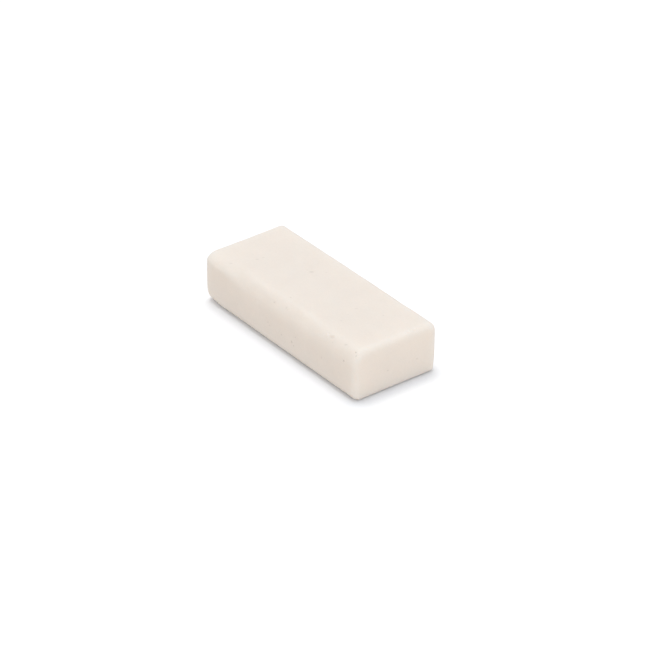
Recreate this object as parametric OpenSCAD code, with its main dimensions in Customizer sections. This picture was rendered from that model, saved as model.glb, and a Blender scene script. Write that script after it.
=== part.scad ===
// Plain moulded eraser: one block of thermoplastic rubber, lying on its largest face.
// The four long edges share one radius, and a smaller one runs round each end face.
// Where the two meet, each corner is a piece of a torus, smooth to all three faces.
// X is the length, Y the width and Z is up. The origin is the centre of the base.

/* [Block] */
// Length from end face to end face, along X
body_l = 45; // [36:0.5:65]
// Width across the two long sides, along Y
body_w = 18.5; // [14:0.5:26]
// Height from the base to the top face
body_h = 10; // [8:0.5:14]

/* [Edges] */
// Radius of the four long edges
long_edge_r = 1.8; // [1.5:0.1:3.5]
// Radius of the edge that runs round each end face
end_edge_r = 1.3; // [0.5:0.1:1.4]

/* [Hidden] */
$fn = 96;
cream = [0.95, 0.91, 0.87];

// How far the axes of the long edges lie from the block's middle
edge_axis_y = body_w / 2 - long_edge_r;
edge_axis_z = body_h / 2 - long_edge_r;

// A rectangle about the origin with a true arc at each corner
module rounded_rectangle(size_x, size_y, r) {
    square([size_x - 2 * r, size_y], center = true);
    square([size_x, size_y - 2 * r], center = true);
    for (side_x = [-1, 1], side_y = [-1, 1])
        translate([side_x * (size_x / 2 - r), side_y * (size_y / 2 - r)])
            circle(r);
}

// One long edge: a round bar along X, with the end edge's radius turned on both ends
module long_edge() {
    rotate([0, 90, 0])
        rotate_extrude()
            intersection() {
                rounded_rectangle(2 * long_edge_r, body_l, end_edge_r);
                translate([0, -body_l / 2])
                    square([long_edge_r, body_l]);
            }
}

// The block's full height, as wide as the axes of the long edges are apart
module upright_core() {
    rotate([90, 0, 0])
        linear_extrude(2 * edge_axis_y, center = true)
            rounded_rectangle(body_l, body_h, end_edge_r);
}

// The block's full width, as high as the axes of the long edges are apart
module flat_core() {
    linear_extrude(2 * edge_axis_z, center = true)
        rounded_rectangle(body_l, body_w, end_edge_r);
}

module eraser_block() {
    color(cream)
        translate([0, 0, body_h / 2])
            union() {
                upright_core();
                flat_core();
                for (side_y = [-1, 1], side_z = [-1, 1])
                    translate([0, side_y * edge_axis_y, side_z * edge_axis_z])
                        long_edge();
            }
}

eraser_block();
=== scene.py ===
"""Cream thermoplastic rubber eraser: one soft moulded block, lying on a pale floor.

Metres, in the part's own frame: X along the block, Y across it, Z up, origin at the base's centre.
"""

import math
import random

import bmesh
import bpy
import numpy as np
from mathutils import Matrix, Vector, noise


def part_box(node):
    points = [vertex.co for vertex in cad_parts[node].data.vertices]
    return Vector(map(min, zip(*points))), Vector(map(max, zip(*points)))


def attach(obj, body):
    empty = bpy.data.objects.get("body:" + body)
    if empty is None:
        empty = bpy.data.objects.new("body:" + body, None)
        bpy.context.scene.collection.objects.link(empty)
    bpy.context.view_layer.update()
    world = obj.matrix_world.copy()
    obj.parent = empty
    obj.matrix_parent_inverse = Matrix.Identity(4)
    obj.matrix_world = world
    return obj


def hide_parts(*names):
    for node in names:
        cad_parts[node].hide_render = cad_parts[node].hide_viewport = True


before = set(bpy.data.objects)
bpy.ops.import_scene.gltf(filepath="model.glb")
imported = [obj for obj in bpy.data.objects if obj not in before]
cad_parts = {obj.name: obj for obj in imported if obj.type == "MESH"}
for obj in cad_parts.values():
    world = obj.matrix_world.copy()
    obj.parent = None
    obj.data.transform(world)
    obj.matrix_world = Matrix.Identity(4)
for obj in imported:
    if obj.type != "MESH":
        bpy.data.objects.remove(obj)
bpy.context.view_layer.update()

MM = 0.001
BLOCK_LOW, BLOCK_HIGH = (Vector(corner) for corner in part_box("eraser_block"))
LENGTH, WIDTH, HEIGHT = BLOCK_HIGH - BLOCK_LOW

# ---------------------------------------------------------------- camera

CAMERA_AZIMUTH = math.radians(52.774)
CAMERA_ELEVATION = math.radians(31.244)
CAMERA_DISTANCE = 596.35 * MM
CAMERA_LENS = 182.77  # the lens and the sensor are in mm, as Blender takes them
CAMERA_SENSOR = 36.0
CAMERA_NEAREST = 10 * MM  # the camera sees from this far off
CAMERA_FARTHEST = 10_000 * MM  # up to this far
AIM_RIGHT = 1.125 * MM  # the view's middle lies this far right of the block's centre
AIM_DOWN = 2.705 * MM  # and this far below it


def add_camera():
    """The photograph's view: from the front right and above, through a long lens."""
    flat = math.cos(CAMERA_ELEVATION)
    back = Vector((
        math.sin(CAMERA_AZIMUTH) * flat,
        -math.cos(CAMERA_AZIMUTH) * flat,
        math.sin(CAMERA_ELEVATION),
    ))
    right = Vector((math.cos(CAMERA_AZIMUTH), math.sin(CAMERA_AZIMUTH), 0.0))
    up = back.cross(right)
    aim = Vector((0.0, 0.0, HEIGHT / 2)) + right * AIM_RIGHT - up * AIM_DOWN
    data = bpy.data.cameras.new("camera")
    data.lens = CAMERA_LENS
    data.sensor_width = CAMERA_SENSOR
    data.clip_start = CAMERA_NEAREST
    data.clip_end = CAMERA_FARTHEST
    camera = bpy.data.objects.new("camera", data)
    bpy.context.collection.objects.link(camera)
    camera.location = aim + back * CAMERA_DISTANCE
    camera.rotation_mode = "QUATERNION"
    camera.rotation_quaternion = (-back).to_track_quat("-Z", "Y")
    bpy.context.scene.camera = camera


add_camera()

# ---------------------------------------------------------------- light and floor

SKY_STRENGTH = 0.675

# Lamps, in degrees: compass angle (0 lights the long front side, 90 the +X end), lean from the
# vertical and angular size. The strength is how bright a white surface that faces the lamp
# looks, where 1 shows as plain white.
WHITE_LIGHT = (1.0, 1.0, 1.0)
COOL_LIGHT = (0.96, 1.0, 1.04)
LAMPS = {
    "key": dict(compass=258, lean=9, spread=24, strength=0.28, colour=WHITE_LIGHT),
    "end_fill": dict(compass=90, lean=78, spread=60, strength=0.127, colour=COOL_LIGHT),
    "corner_fill": dict(compass=50, lean=86, spread=20, strength=0.064, colour=WHITE_LIGHT),
}

FLOOR_SIZE = 6000 * MM
FLOOR_DROP = 0.01 * MM
FLOOR_BOUNCE = (0.855, 0.82, 0.79, 1.0)  # as it lights the block
FLOOR_OPEN = (1.105, 1.12, 1.145, 1.0)  # as the camera sees it away from the block
FLOOR_CONTACT = (0.77, 0.81, 0.865, 1.0)  # and where the block shuts it in
CONTACT_REACH = 4.4 * MM
CONTACT_SAMPLES = 4
# A point of the floor is shut in most by what stands on this side of it, so the contact shade
# lies mostly beside the near end and the front. In degrees, as for the lamps.
CONTACT_COMPASS = 250
CONTACT_LEAN = 60


def add_world():
    """An even white sky, which the camera sees as plain white."""
    world = bpy.data.worlds.new("studio")
    world.use_nodes = True
    nodes, links = world.node_tree.nodes, world.node_tree.links
    nodes.clear()
    path = nodes.new("ShaderNodeLightPath")
    strength = nodes.new("ShaderNodeMapRange")
    strength.inputs["To Min"].default_value = SKY_STRENGTH
    strength.inputs["To Max"].default_value = 1.0
    background = nodes.new("ShaderNodeBackground")
    background.inputs["Color"].default_value = (1.0, 1.0, 1.0, 1.0)
    out = nodes.new("ShaderNodeOutputWorld")
    links.new(path.outputs["Is Camera Ray"], strength.inputs["Value"])
    links.new(strength.outputs["Result"], background.inputs["Strength"])
    links.new(background.outputs["Background"], out.inputs["Surface"])
    bpy.context.scene.world = world


def direction(compass, lean):
    """The unit vector at a compass angle and a lean from the vertical, both in degrees."""
    turn, tilt = math.radians(compass), math.radians(lean)
    flat = math.sin(tilt)
    return Vector((math.sin(turn) * flat, -math.cos(turn) * flat, math.cos(tilt)))


def add_lamp(name, compass, lean, spread, strength, colour):
    """A distant soft lamp."""
    data = bpy.data.lights.new(name, "SUN")
    data.energy = math.pi * strength
    data.angle = math.radians(spread)
    data.color = colour
    lamp = bpy.data.objects.new(name, data)
    bpy.context.collection.objects.link(lamp)
    lamp.rotation_mode = "QUATERNION"
    lamp.rotation_quaternion = direction(compass, lean).to_track_quat("Z", "Y")


def floor_material():
    """A matt sweep that the camera sees as plain white, darker close to what stands on it."""
    material = bpy.data.materials.new("floor")
    material.use_nodes = True
    nodes, links = material.node_tree.nodes, material.node_tree.links
    nodes.clear()
    path = nodes.new("ShaderNodeLightPath")
    bounce = nodes.new("ShaderNodeBsdfDiffuse")
    bounce.inputs["Color"].default_value = FLOOR_BOUNCE
    openness = nodes.new("ShaderNodeAmbientOcclusion")
    openness.samples = CONTACT_SAMPLES
    openness.inputs["Distance"].default_value = CONTACT_REACH
    facing = nodes.new("ShaderNodeCombineXYZ")
    for axis, amount in zip("XYZ", direction(CONTACT_COMPASS, CONTACT_LEAN)):
        facing.inputs[axis].default_value = amount
    tone = nodes.new("ShaderNodeMix")
    tone.data_type = "RGBA"
    tone.inputs["A"].default_value = FLOOR_CONTACT
    tone.inputs["B"].default_value = FLOOR_OPEN
    seen = nodes.new("ShaderNodeBsdfDiffuse")
    either = nodes.new("ShaderNodeMixShader")
    out = nodes.new("ShaderNodeOutputMaterial")
    links.new(facing.outputs["Vector"], openness.inputs["Normal"])
    links.new(openness.outputs["AO"], tone.inputs["Factor"])
    links.new(tone.outputs["Result"], seen.inputs["Color"])
    links.new(path.outputs["Is Camera Ray"], either.inputs["Fac"])
    links.new(bounce.outputs["BSDF"], either.inputs[1])
    links.new(seen.outputs["BSDF"], either.inputs[2])
    links.new(either.outputs["Shader"], out.inputs["Surface"])
    return material


def add_floor():
    """A wide square just below the base."""
    half = FLOOR_SIZE / 2
    corners = [(-half, -half, 0), (half, -half, 0), (half, half, 0), (-half, half, 0)]
    mesh = bpy.data.meshes.new("floor")
    mesh.from_pydata(corners, [], [(0, 1, 2, 3)])
    mesh.materials.append(floor_material())
    floor = bpy.data.objects.new("floor", mesh)
    bpy.context.collection.objects.link(floor)
    floor.location.z = BLOCK_LOW.z - FLOOR_DROP


add_world()
for lamp_name, lamp in LAMPS.items():
    add_lamp(lamp_name, **lamp)
add_floor()

# ---------------------------------------------------------------- the block's form

GRID_STEP = 0.25 * MM
RIM_STEPS = 10  # steps round each end rim
ARC_STEPS = 16  # steps round each long edge

# The long edges aren't quite round, nor the same all the way along. Each has the way it faces
# and one or more stations: x, and how far its rounding reaches across and up there, in mm.
# In the order of the section's walk: front foot, back foot, back top, front top.
LONG_EDGES = [
    dict(side=-1, top=-1, stations=[(-22.5, 1.8, 3.0), (-18.0, 1.4, 1.8)]),
    dict(side=1, top=-1, stations=[(0.0, 0.85, 4.3)]),
    dict(side=1, top=1, stations=[(0.0, 1.75, 1.75)]),
    dict(side=-1, top=1, stations=[(-22.5, 2.4, 1.6), (-17.5, 3.7, 1.8), (-7.5, 2.5, 3.7)]),
]
EDGE_LEAST = 0.15 * MM  # what is left of an edge's rounding on the end face
EDGE_TYPICAL = 1.8 * MM  # a side's straight steps are counted without this much at each end

SIDES = ("front", "back", "foot", "top")

# How far the rounding round each end face reaches along the block, at the front and at the back,
# and in over the face from each side
FAR_END = dict(
    x=-1, along=1.05 * MM, along_back=0.65 * MM,
    front=1.05 * MM, back=0.3 * MM, foot=1.05 * MM, top=1.0 * MM,
)
NEAR_END = dict(
    x=1, along=1.05 * MM, along_back=1.05 * MM,
    front=1.2 * MM, back=1.05 * MM, foot=0.55 * MM, top=1.2 * MM,
)


def steps_for(span):
    """How many grid steps fill a straight stretch."""
    return max(1, round(span / GRID_STEP))


def smooth_step(t):
    """From 0 to 1 as t goes from 0 to 1, level at both ends."""
    t = np.clip(t, 0.0, 1.0)
    return t * t * (3 - 2 * t)


def edge_at(edge, x):
    """One long edge at x, blended smoothly between its stations."""
    stations = edge["stations"]
    last = len(stations) - 1
    position = float(np.interp(x, [station[0] * MM for station in stations], range(last + 1)))
    before = min(int(position), last)
    after = min(before + 1, last)
    t = smooth_step(position - before)
    across, up = (1 - t) * np.array(stations[before][1:]) + t * np.array(stations[after][1:])
    return dict(side=edge["side"], top=edge["top"], across=across * MM, up=up * MM)


def arc_point(edge, inset, degrees):
    """A point (y, z) on one edge of the section, by its angle from +Y towards +Z."""
    inset_y = inset["back" if edge["side"] > 0 else "front"]
    inset_z = inset["top" if edge["top"] > 0 else "foot"]
    across = max(edge["across"] - inset_y, EDGE_LEAST)
    up = max(edge["up"] - inset_z, EDGE_LEAST)
    y = edge["side"] * (WIDTH / 2 - inset_y - across) + across * math.cos(math.radians(degrees))
    z = edge["top"] * (HEIGHT / 2 - inset_z - up) + up * math.sin(math.radians(degrees))
    return np.array([y, z])


def ring(x, inset):
    """The section at x as (y, z) points, anticlockwise from the middle of the front foot edge.

    The section is a rounded rectangle, drawn in on each side by that side's inset. Each of its
    four sides runs from the middle of one edge to the middle of the next, with the same number
    of points at every station, so that rings join up and the end faces close with a grid.
    """
    edges = [edge_at(edge, x) for edge in LONG_EDGES]
    half_arc = ARC_STEPS // 2
    turns = [45 * i / half_arc for i in range(half_arc)]  # degrees, through half a rounding
    points = []
    for side, span in enumerate((WIDTH, HEIGHT, WIDTH, HEIGHT)):
        edge, after = edges[side], edges[(side + 1) % 4]
        square = 270 + 90 * side  # the way this side faces, in degrees; the base comes first
        points += [arc_point(edge, inset, square - 45 + turn) for turn in turns]
        start, stop = arc_point(edge, inset, square), arc_point(after, inset, square)
        straight = steps_for(span - 2 * EDGE_TYPICAL)
        points += [start + (stop - start) * i / straight for i in range(straight)]
        points += [arc_point(after, inset, square + turn) for turn in turns]
    return np.array(points)


def in_space(x, section):
    """Points (y, z) of a section as points (x, y, z), with one x or one for each of them."""
    return np.column_stack([np.broadcast_to(x, len(section)), section])


def rim_rings(end):
    """The rings round one end's rim, from the end face inwards."""
    rings = []
    for i in range(RIM_STEPS):
        angle = math.pi / 2 * (1 - i / RIM_STEPS)
        drawn_in = 1 - math.sin(angle)
        inset = {side: end[side] * (1 - math.cos(angle)) for side in SIDES}
        section = ring(end["x"] * (LENGTH / 2 - end["along"] * drawn_in), inset)
        backness = smooth_step(section[:, 0] / (WIDTH / 2))
        along = end["along"] + (end["along_back"] - end["along"]) * backness
        rings.append(in_space(end["x"] * (LENGTH / 2 - along * drawn_in), section))
    return rings


def all_rings():
    """Every ring of points (x, y, z), from the -X end face to the +X one."""
    start = FAR_END["along"] - LENGTH / 2
    stop = LENGTH / 2 - NEAR_END["along"]
    straight = steps_for(stop - start)
    flush = dict.fromkeys(SIDES, 0.0)
    places = [start + (stop - start) * i / straight for i in range(straight + 1)]
    middle = [in_space(x, ring(x, flush)) for x in places]
    return rim_rings(FAR_END) + middle + rim_rings(NEAR_END)[::-1]


def side_counts():
    """How many steps a ring takes along each long side of the section and along each short one."""
    across = ARC_STEPS + steps_for(WIDTH - 2 * EDGE_TYPICAL)
    up = ARC_STEPS + steps_for(HEIGHT - 2 * EDGE_TYPICAL)
    return across, up


def end_grid(outline, across, up):
    """Fills a ring with a grid of (up + 1) by (across + 1) points, by blending its four sides."""
    bottom = outline[:across + 1]
    right = outline[across:across + up + 1]
    top = outline[across + up:2 * across + up + 1][::-1]
    left = np.vstack([outline[2 * across + up:], outline[:1]])[::-1]
    u = np.linspace(0, 1, across + 1)[None, :, None]
    v = np.linspace(0, 1, up + 1)[:, None, None]
    sides = (1 - v) * bottom[None] + v * top[None] + (1 - u) * left[:, None] + u * right[:, None]
    corners = ((1 - u) * (1 - v) * bottom[0] + u * (1 - v) * bottom[-1]
               + (1 - u) * v * top[0] + u * v * top[-1])
    return sides - corners


def ring_index(across, up):
    """The index into a ring of each border point of the end grid, or -1 inside it."""
    index = -np.ones((up + 1, across + 1), dtype=int)
    total = 2 * (across + up)
    index[0, :] = np.arange(across + 1)
    index[:, -1] = across + np.arange(up + 1)
    index[-1, ::-1] = across + up + np.arange(across + 1)
    index[::-1, 0] = (2 * across + up + np.arange(up + 1)) % total
    return index


def grid_faces(index, outward):
    """The quads of an end grid, from the number of each of its points."""
    faces = []
    for low, high in zip(index[:-1], index[1:]):
        for col in range(len(low) - 1):
            quad = [int(n) for n in (low[col], low[col + 1], high[col + 1], high[col])]
            faces.append(quad if outward > 0 else quad[::-1])
    return faces


def block_mesh():
    """The block as rings joined by quads, with a grid of quads closing each end face."""
    across, up = side_counts()
    around = 2 * (across + up)
    rings = all_rings()
    points = list(rings)
    faces = []
    for j in range(len(rings) - 1):
        here, there = j * around, (j + 1) * around
        for i in range(around):
            k = (i + 1) % around
            faces.append((here + k, there + k, there + i, here + i))
    count = len(rings) * around
    border = ring_index(across, up)
    for ring_number, outward in ((0, -1), (len(rings) - 1, 1)):
        grid = end_grid(rings[ring_number], across, up)
        index = border + ring_number * around
        inside = border < 0
        index[inside] = count + np.arange(inside.sum())
        count += int(inside.sum())
        points.append(grid[inside])
        faces += grid_faces(index, outward)
    points = np.vstack(points)
    points[:, 2] += HEIGHT / 2
    mesh = bpy.data.meshes.new("rubber_block")
    mesh.from_pydata(points.tolist(), [], faces)
    mesh.validate()
    return mesh


# ---------------------------------------------------------------- unevenness

FACE_WAVE = 6.0 * MM  # the size of the soft waves in the faces
FACE_LIFT = 0.05 * MM
EDGE_WAVE = 3.2 * MM  # and of the closer ones along the rounded edges
EDGE_SHIFT = 7.3  # takes the closer waves from another part of the noise
EDGE_LIFT = 0.05 * MM
FRONT_TOP_LIFT = 0.16 * MM  # the front top edge is the uneven one
EDGE_LEAN = 0.2  # a surface that leans this far off its face counts as edge
FOOT_REACH = 1.2 * MM  # the waves die out this near the base, which lies flat


def waves(points, normals):
    """How far the moulded rubber's soft waves lift each point along its normal."""
    lift = np.zeros(len(points))
    edge = smooth_step((1 - np.abs(normals).max(axis=1)) / EDGE_LEAN)
    foot = smooth_step(points[:, 2] / FOOT_REACH)
    for i, point in enumerate(points):
        broad = noise.noise(Vector(point / FACE_WAVE))
        close = noise.noise(Vector(point / EDGE_WAVE + EDGE_SHIFT))
        front_top = point[1] < 0 and point[2] > HEIGHT / 2 and abs(normals[i][0]) < EDGE_LEAN
        lift[i] = FACE_LIFT * broad + (FRONT_TOP_LIFT if front_top else EDGE_LIFT) * edge[i] * close
    return lift * foot


# ---------------------------------------------------------------- marks

# Small marks in the order x, y, z, length, width, turn, depth, dark: the place from the middle
# of the base, how far the mark reaches from its own middle lengthways and sideways, its turn in
# the surface, its depth (below zero it stands proud), and how much painted shade darkens the
# rubber in it, from 0 to 1. The turn is in degrees and the rest in mm.
MARKS = [
    # top face
    (-4.9, 2.1, 10.0, 0.72, 0.24, 53, 0.07, 0.34),
    (-6.0, 1.9, 10.0, 0.40, 0.20, 53, 0.03, 0.08),
    (-16.5, -7.6, 9.8, 0.55, 0.20, 53, 0.04, 0.16),
    (-14.5, -3.1, 10.0, 0.55, 0.20, 53, 0.04, 0.18),
    (-14.4, -1.8, 10.0, 0.40, 0.18, 53, 0.03, 0.16),
    (-3.1, 4.1, 10.0, 0.30, 0.20, 53, 0.03, 0.12),
    (0.1, -6.4, 10.0, 0.30, 0.22, 0, 0.04, 0.18),
    (10.3, 0.6, 10.0, 0.50, 0.18, 53, 0.03, 0.12),
    (15.0, 3.0, 10.0, 0.28, 0.20, 20, 0.03, 0.14),
    (12.0, -4.1, 10.0, 0.35, 0.20, 50, 0.03, 0.10),
    # rounded front edge, with the nick: a burr and the dent beside it
    (-1.9, -8.7, 8.8, 0.40, 0.24, 30, 0.05, 0.14),
    (1.4, -8.5, 9.2, 0.20, 0.55, 0, 0.06, 0.14),
    (1.8, -8.4, 9.3, 0.20, 0.50, 0, -0.07, 0.0),
    (13.5, -8.35, 9.4, 0.42, 0.36, 0, -0.19, 0.0),
    (14.5, -8.3, 9.5, 0.85, 0.50, 20, 0.15, 0.10),
    (18.4, -8.1, 9.8, 0.60, 0.18, 30, 0.04, 0.18),
    (21.3, -8.2, 9.7, 0.26, 0.22, 0, 0.07, 0.40),
    (21.8, -8.4, 9.1, 0.20, 0.36, 0, 0.05, 0.26),
    (22.0, -8.0, 9.4, 0.26, 0.24, 0, -0.07, 0.0),
    # long front side
    (-2.9, -9.25, 4.4, 0.30, 0.20, 70, 0.04, 0.20),
    (-2.5, -9.25, 3.9, 0.24, 0.20, 70, 0.03, 0.16),
    (1.1, -9.25, 3.7, 0.30, 0.24, 0, 0.04, 0.22),
    (4.2, -9.25, 3.7, 0.45, 0.28, 120, 0.06, 0.34),
    (4.8, -9.25, 3.2, 0.30, 0.22, 0, 0.05, 0.28),
    (5.3, -9.25, 5.2, 0.28, 0.20, 0, 0.04, 0.20),
    (13.0, -9.25, 4.8, 0.30, 0.20, 90, 0.04, 0.18),
    (19.3, -9.25, 7.2, 0.32, 0.24, 0, 0.06, 0.40),
    # near end
    (22.5, -1.8, 4.0, 0.34, 0.20, 0, 0.04, 0.20),
    (22.5, 4.7, 4.0, 0.28, 0.20, 0, 0.04, 0.18),
    (21.9, 3.7, 9.9, 0.50, 0.24, 0, -0.08, 0.0),
    (21.9, 2.6, 9.9, 0.35, 0.22, 0, -0.05, 0.0),
    (21.9, 5.1, 9.8, 0.35, 0.22, 0, -0.05, 0.0),
]

HIDDEN_MARKS = 26  # of the same kind, on the sides that the photograph doesn't show
HIDDEN_SEED = 11
# What they are drawn from, in the order and the units of the marks above
HIDDEN_RANGES = dict(
    x=(-20.0, 20.0), y=(-8.0, 8.0), z=(2.0, 9.0), length=(0.25, 0.45), width=(0.18, 0.26),
    turn=(0, 180), depth=(0.03, 0.07), dark=(0.06, 0.26),
)
MARK_CUTS = 3  # the mesh is this many cuts finer round a mark
MARK_ROOM = 0.3 * MM  # and this far beyond it
END_FACING = 0.8  # a mark whose normal runs this much along X lies on an end face


def hidden_marks():
    """Marks on the back, the far end and the base, alike in kind to those that are seen."""
    draw = random.Random(HIDDEN_SEED)
    marks = []
    for i in range(HIDDEN_MARKS):
        x, y, z, *kind = [draw.uniform(*limits) for limits in HIDDEN_RANGES.values()]
        back, base, far_end = (x, WIDTH / 2 / MM, z), (x, y, 0.0), (-LENGTH / 2 / MM, y, z)
        place = (back, base, far_end, far_end, back)[i % 5]
        marks.append((*place, *kind))
    return marks


def refine(bm, marks):
    """Cuts the mesh finer round each mark."""
    middles = np.array([(edge.verts[0].co + edge.verts[1].co) / 2 for edge in bm.edges])
    near = np.zeros(len(middles), dtype=bool)
    for x, y, z, length, width, *_ in marks:
        reach = max(length, width) * MM + MARK_ROOM
        near |= np.linalg.norm(middles - np.array([x, y, z]) * MM, axis=1) < reach
    edges = [edge for edge, chosen in zip(bm.edges, near) if chosen]
    bmesh.ops.subdivide_edges(bm, edges=edges, cuts=MARK_CUTS, use_grid_fill=True)
    bmesh.ops.triangulate(bm, faces=[face for face in bm.faces if len(face.verts) > 4])


def mark_shape(mark, points, normals):
    """Where one mark acts, from 0 at its rim to 1 in its middle, over all the points."""
    x, y, z, length, width, turn = mark[:6]
    offset = points - np.array([x, y, z]) * MM
    nearest = int(np.argmin(np.linalg.norm(offset, axis=1)))
    normal = normals[nearest]
    along = np.array([0.0, 1.0, 0.0]) if abs(normal[0]) > END_FACING else np.array([1.0, 0.0, 0.0])
    along -= normal * along.dot(normal)
    along /= np.linalg.norm(along)
    beside = np.cross(normal, along)
    offset = points - points[nearest]
    turned = math.radians(turn)
    u = offset @ (along * math.cos(turned) + beside * math.sin(turned))
    v = offset @ (beside * math.cos(turned) - along * math.sin(turned))
    w = offset @ normal
    reach = np.array([length, width, length + width]) * MM
    out = ((np.column_stack([u, v, w]) / reach) ** 2).sum(axis=1)
    return np.clip(1 - out, 0.0, 1.0) ** 2


def weather(mesh):
    """Lays the waves and the marks into the mesh, and notes how much painted shade darkens each
    mark.
    """
    marks = MARKS + hidden_marks()
    bm = bmesh.new()
    bm.from_mesh(mesh)
    refine(bm, marks)
    bm.normal_update()
    points = np.array([vert.co for vert in bm.verts])
    normals = np.array([vert.normal for vert in bm.verts])
    lift = waves(points, normals)
    pit_shade = np.zeros(len(points))
    for mark in marks:
        depth, dark = mark[6:]
        shape = mark_shape(mark, points, normals)
        lift -= shape * depth * MM
        # each mark's hollow is darkened with painted shade, most in its middle
        pit_shade = np.maximum(pit_shade, shape * dark)
    points += normals * lift[:, None]
    points[:, 2] = np.maximum(points[:, 2], 0.0)
    layer = bm.verts.layers.float.new("pit_shade")
    for vert, point, darkness in zip(bm.verts, points, pit_shade):
        vert.co = point
        vert[layer] = darkness
    bm.to_mesh(mesh)
    bm.free()
    mesh.polygons.foreach_set("use_smooth", np.ones(len(mesh.polygons), dtype=bool))
    mesh.update()


# ---------------------------------------------------------------- material

CREAM_PALE = (0.908, 0.833, 0.762)
CREAM_DULL = (0.866, 0.795, 0.728)
DUST_AND_PIT_SHADE = (0.30, 0.25, 0.22)  # dust moulded into the rubber, and the painted shade in the marks
NOISE_LOW = 0.3  # noise stays mostly between these two
NOISE_HIGH = 0.7
BLOTCH_SIZE = 4.5 * MM
BLOTCH_DETAIL = 2.0
GRAIN_SIZE = 0.45 * MM
GRAIN_DETAIL = 3.0
GRAIN_SHARE = 0.5  # of the colour's unevenness; the rest is blotches
GRAIN_DEPTH = 0.02 * MM
DUST_SPACING = 1.1 * MM
DUST_SHARE = 0.25  # of the spacing's cells hold a grain of dust
DUST_SOLID = 0.05  # of the spacing: a grain is whole up to here
DUST_GONE = 0.14  # and fades out by here
DUST_DARK = 0.12
ROUGHNESS_LEAST = 0.52
ROUGHNESS_MOST = 0.68
SOFTNESS = 0.65  # the share of the light that goes under the surface
SOFT_REACH = 3.6 * MM  # how far it spreads there
SOFT_TINT = (1.0, 0.92, 0.85)  # and the share of that reach for red, green and blue


def map_range(nodes, links, value, low, high, to_low, to_high):
    """A Map Range node that is fed by one output and clamps; returns its result."""
    node = nodes.new("ShaderNodeMapRange")
    limits = {"From Min": low, "From Max": high, "To Min": to_low, "To Max": to_high}
    for socket, number in limits.items():
        node.inputs[socket].default_value = number
    links.new(value, node.inputs["Value"])
    return node.outputs["Result"]


def feed(links, socket, source):
    """Gives a socket an output, a colour or a number."""
    if isinstance(source, tuple):
        socket.default_value = (*source, 1.0)
    elif isinstance(source, float):
        socket.default_value = source
    else:
        links.new(source, socket)


def mixed_colour(nodes, links, share, first, second):
    """A colour Mix node, from the first colour to the second as the share goes from 0 to 1."""
    node = nodes.new("ShaderNodeMix")
    node.data_type = "RGBA"
    for socket, source in (("Factor", share), ("A", first), ("B", second)):
        feed(links, node.inputs[socket], source)
    return node.outputs["Result"]


def noise_value(nodes, links, place, size, detail):
    """Noise of one size; returns its value."""
    node = nodes.new("ShaderNodeTexNoise")
    node.inputs["Scale"].default_value = 1 / size
    node.inputs["Detail"].default_value = detail
    links.new(place, node.inputs["Vector"])
    return node.outputs["Fac"]


def dust(nodes, links, place):
    """Up to 1 in a sparse scatter of tiny grains, 0 elsewhere."""
    cells = nodes.new("ShaderNodeTexVoronoi")
    cells.inputs["Scale"].default_value = 1 / DUST_SPACING
    links.new(place, cells.inputs["Vector"])
    grain = map_range(nodes, links, cells.outputs["Distance"], DUST_SOLID, DUST_GONE, 1.0, 0.0)
    draw = nodes.new("ShaderNodeSeparateColor")
    links.new(cells.outputs["Color"], draw.inputs["Color"])
    chosen = map_range(nodes, links, draw.outputs["Red"], 1 - DUST_SHARE, 1.0, 0.0, 1.0)
    both = nodes.new("ShaderNodeMath")
    both.operation = "MULTIPLY"
    links.new(grain, both.inputs[0])
    links.new(chosen, both.inputs[1])
    return both.outputs["Value"]


def mottled(nodes, links, pattern):
    """Cream that goes from dull to pale with a noise pattern."""
    share = map_range(nodes, links, pattern, NOISE_LOW, NOISE_HIGH, 0.0, 1.0)
    return mixed_colour(nodes, links, share, CREAM_DULL, CREAM_PALE)


def cream_rubber():
    """Soft translucent rubber: faint blotches and grain, a little dust, and a dull sheen."""
    material = bpy.data.materials.new("rubber_surface")
    material.use_nodes = True
    nodes, links = material.node_tree.nodes, material.node_tree.links
    shader = nodes["Principled BSDF"]
    place = nodes.new("ShaderNodeTexCoord").outputs["Object"]
    blotch = noise_value(nodes, links, place, BLOTCH_SIZE, BLOTCH_DETAIL)
    grain = noise_value(nodes, links, place, GRAIN_SIZE, GRAIN_DETAIL)
    marked = nodes.new("ShaderNodeAttribute")
    marked.attribute_name = "pit_shade"

    blotched = mottled(nodes, links, blotch)
    grained = mottled(nodes, links, grain)
    base = mixed_colour(nodes, links, GRAIN_SHARE, blotched, grained)
    dusty = map_range(nodes, links, dust(nodes, links, place), 0.0, 1.0, 0.0, DUST_DARK)
    base = mixed_colour(nodes, links, dusty, base, DUST_AND_PIT_SHADE)
    # painted shade darkens the marks' hollows
    base = mixed_colour(nodes, links, marked.outputs["Fac"], base, DUST_AND_PIT_SHADE)
    links.new(base, shader.inputs["Base Color"])

    rough = map_range(nodes, links, grain, NOISE_LOW, NOISE_HIGH, ROUGHNESS_LEAST, ROUGHNESS_MOST)
    links.new(rough, shader.inputs["Roughness"])
    bump = nodes.new("ShaderNodeBump")
    bump.inputs["Distance"].default_value = GRAIN_DEPTH
    links.new(grain, bump.inputs["Height"])
    links.new(bump.outputs["Normal"], shader.inputs["Normal"])
    shader.inputs["Subsurface Weight"].default_value = SOFTNESS
    shader.inputs["Subsurface Radius"].default_value = SOFT_TINT
    shader.inputs["Subsurface Scale"].default_value = SOFT_REACH
    return material


def add_block():
    """The eraser as it looks, in place of the CAD block."""
    mesh = block_mesh()
    weather(mesh)
    mesh.materials.append(cream_rubber())
    block = bpy.data.objects.new("rubber_block", mesh)
    bpy.context.collection.objects.link(block)
    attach(block, "root")
    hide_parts("eraser_block")


add_block()

# ---------------------------------------------------------------- view transform

bpy.context.scene.view_settings.view_transform = "Standard"
